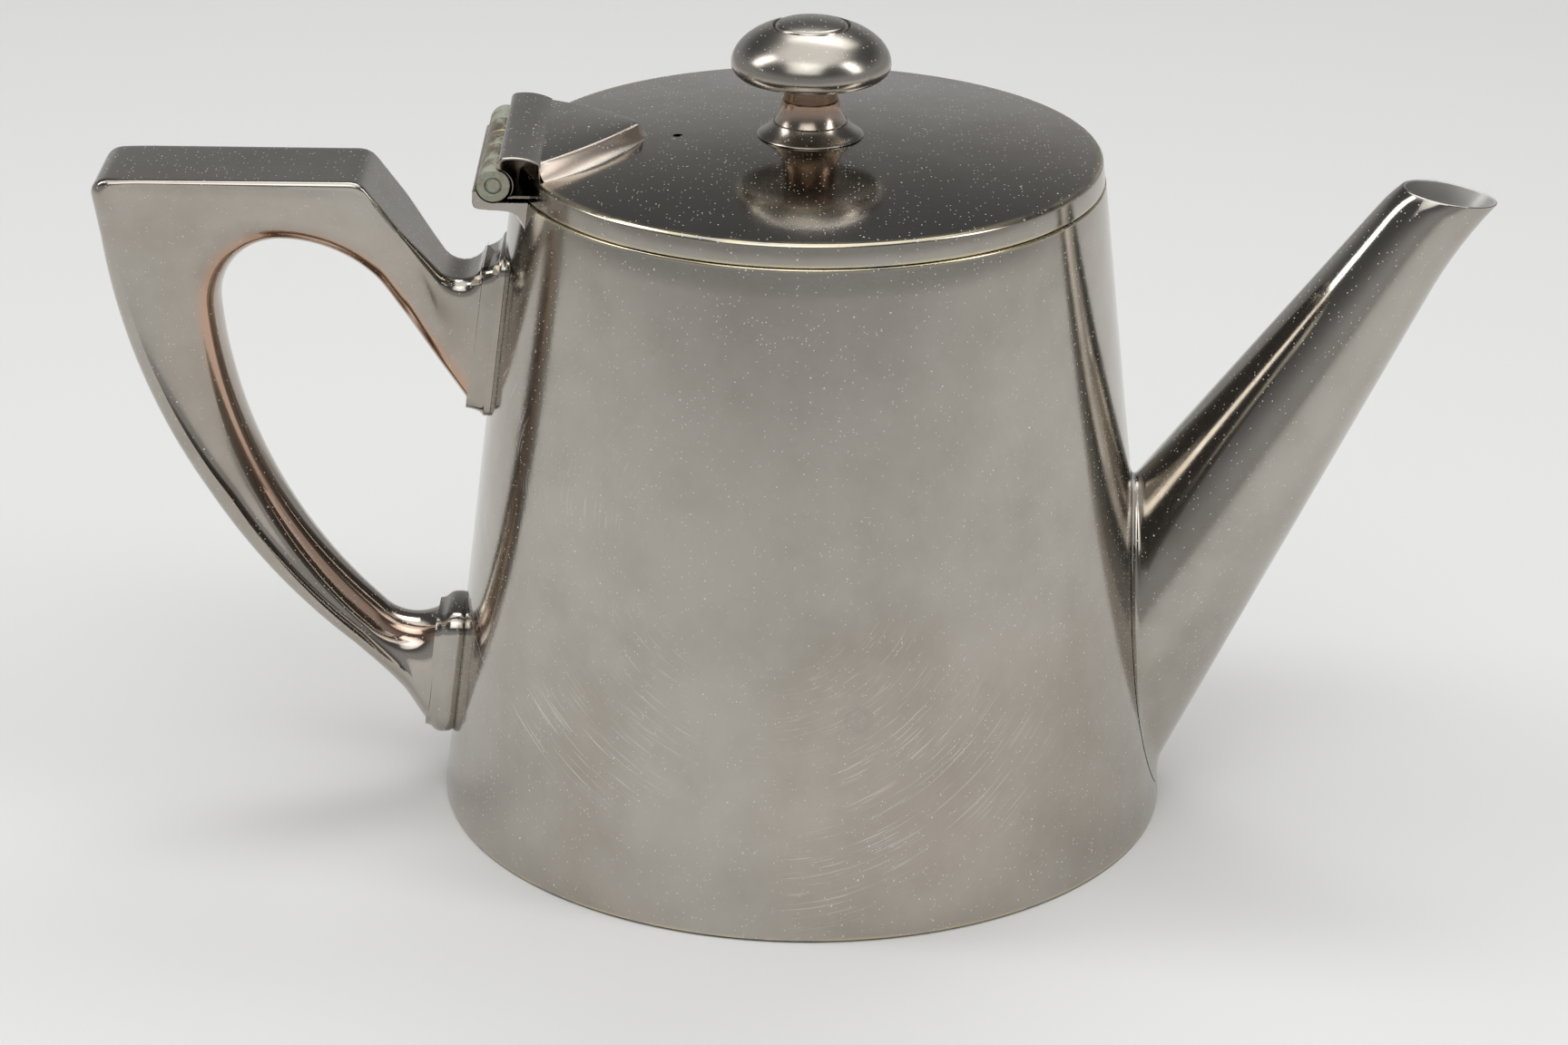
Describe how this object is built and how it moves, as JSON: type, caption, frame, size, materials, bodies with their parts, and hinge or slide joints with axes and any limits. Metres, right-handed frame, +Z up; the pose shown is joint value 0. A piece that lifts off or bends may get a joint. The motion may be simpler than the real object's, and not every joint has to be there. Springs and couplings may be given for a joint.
{
  "type": "teapot",
  "caption": "Small plated teapot with a straight tapered body, a straight conical spout, an angular hollow handle and a shallow domed lid that turns on a knuckle hinge above the handle",
  "frame": {"origin": "centre of the flat base", "axes": "+Z is up, +X points to the spout and -X to the handle, and Y runs along the hinge pin"},
  "size_m": [0.1864, 0.1, 0.1101],
  "materials": {
    "plated_silver": "worn silver plate, softly polished and lightly tarnished",
    "inner_plate": "dull silver plate",
    "worn_plate": "silver plate worn through to the copper",
    "hinge_brass": "tarnished, with traces of verdigris",
    "knob_fixing": "plain turned metal"
  },
  "bodies": {
    "pot": {"body_shell": "plated_silver", "base_disc": "plated_silver", "mouth_ring": "inner_plate", "spout_shell": "plated_silver", "handle_near_half": "plated_silver", "handle_far_half": "plated_silver", "upper_handle_socket": "plated_silver", "lower_handle_socket": "plated_silver", "hinge_bearer": "plated_silver", "body_knuckle_near": "hinge_brass", "body_knuckle_middle": "hinge_brass", "body_knuckle_far": "hinge_brass", "hinge_pin": "hinge_brass"},
    "lid": {"lid_knuckle_near": "hinge_brass", "lid_knuckle_far": "hinge_brass", "hinge_cover": "plated_silver", "lid_shell": "plated_silver", "lid_bezel": "inner_plate", "knob_pillar": "worn_plate", "knob_head": "plated_silver", "knob_cap": "plated_silver", "knob_stud": "knob_fixing", "knob_washer": "knob_fixing", "knob_nut": "knob_fixing"}
  },
  "joints": [
    {"name": "lid_hinge", "type": "hinge", "parent": "pot", "child": "lid", "pos_m": [-0.0412, 0, 0.0913], "axis": [0, -1, 0], "range_deg": [0, 110]}
  ]
}
